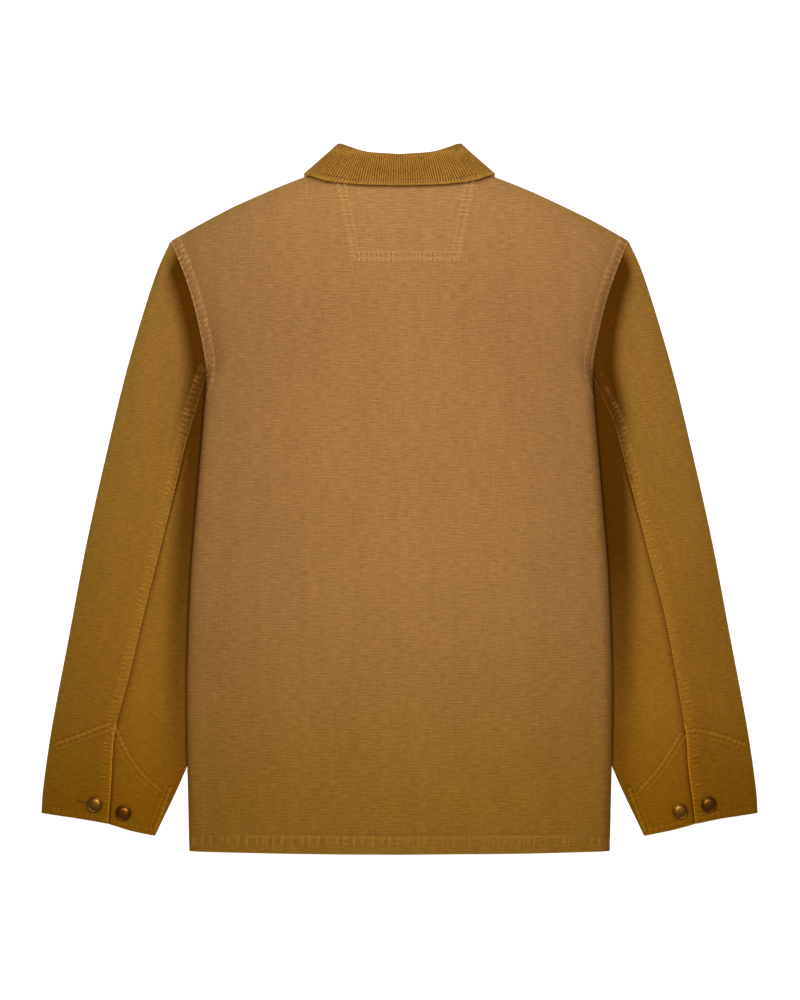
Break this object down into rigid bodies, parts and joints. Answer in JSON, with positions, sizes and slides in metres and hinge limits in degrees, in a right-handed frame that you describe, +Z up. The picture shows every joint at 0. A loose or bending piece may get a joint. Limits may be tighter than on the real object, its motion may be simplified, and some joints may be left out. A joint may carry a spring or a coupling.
{
  "type": "chore jacket",
  "caption": "Canvas chore jacket with a corduroy collar, lying face down and laid out flat with its back upwards and its sleeves beside the body.",
  "frame": {"origin": "on the surface the jacket lies on, below the middle of its outline", "axes": "+X across the jacket, +Y from hem to collar, +Z up from the surface, the jacket's back upwards"},
  "size_m": [0.7888, 0.78, 0.0461],
  "materials": {
    "canvas": "matt, plain-woven and dyed",
    "corduroy": "matt, ribbed pile",
    "tack_metal": "satin, antique"
  },
  "bodies": {
    "root": {"back": "canvas", "front_left": "canvas", "front_right": "canvas", "sleeve_top_left": "canvas", "sleeve_under_left": "canvas", "sleeve_top_right": "canvas", "sleeve_under_right": "canvas", "under_collar": "canvas", "neck_patch": "canvas", "collar": "corduroy", "cuff_button_left": "tack_metal", "cuff_button_right": "tack_metal", "cuff_spare_left": "tack_metal", "cuff_spare_right": "tack_metal", "front_button_1": "tack_metal", "front_button_2": "tack_metal", "front_button_3": "tack_metal", "front_button_4": "tack_metal", "front_button_5": "tack_metal"}
  },
  "joints": []
}
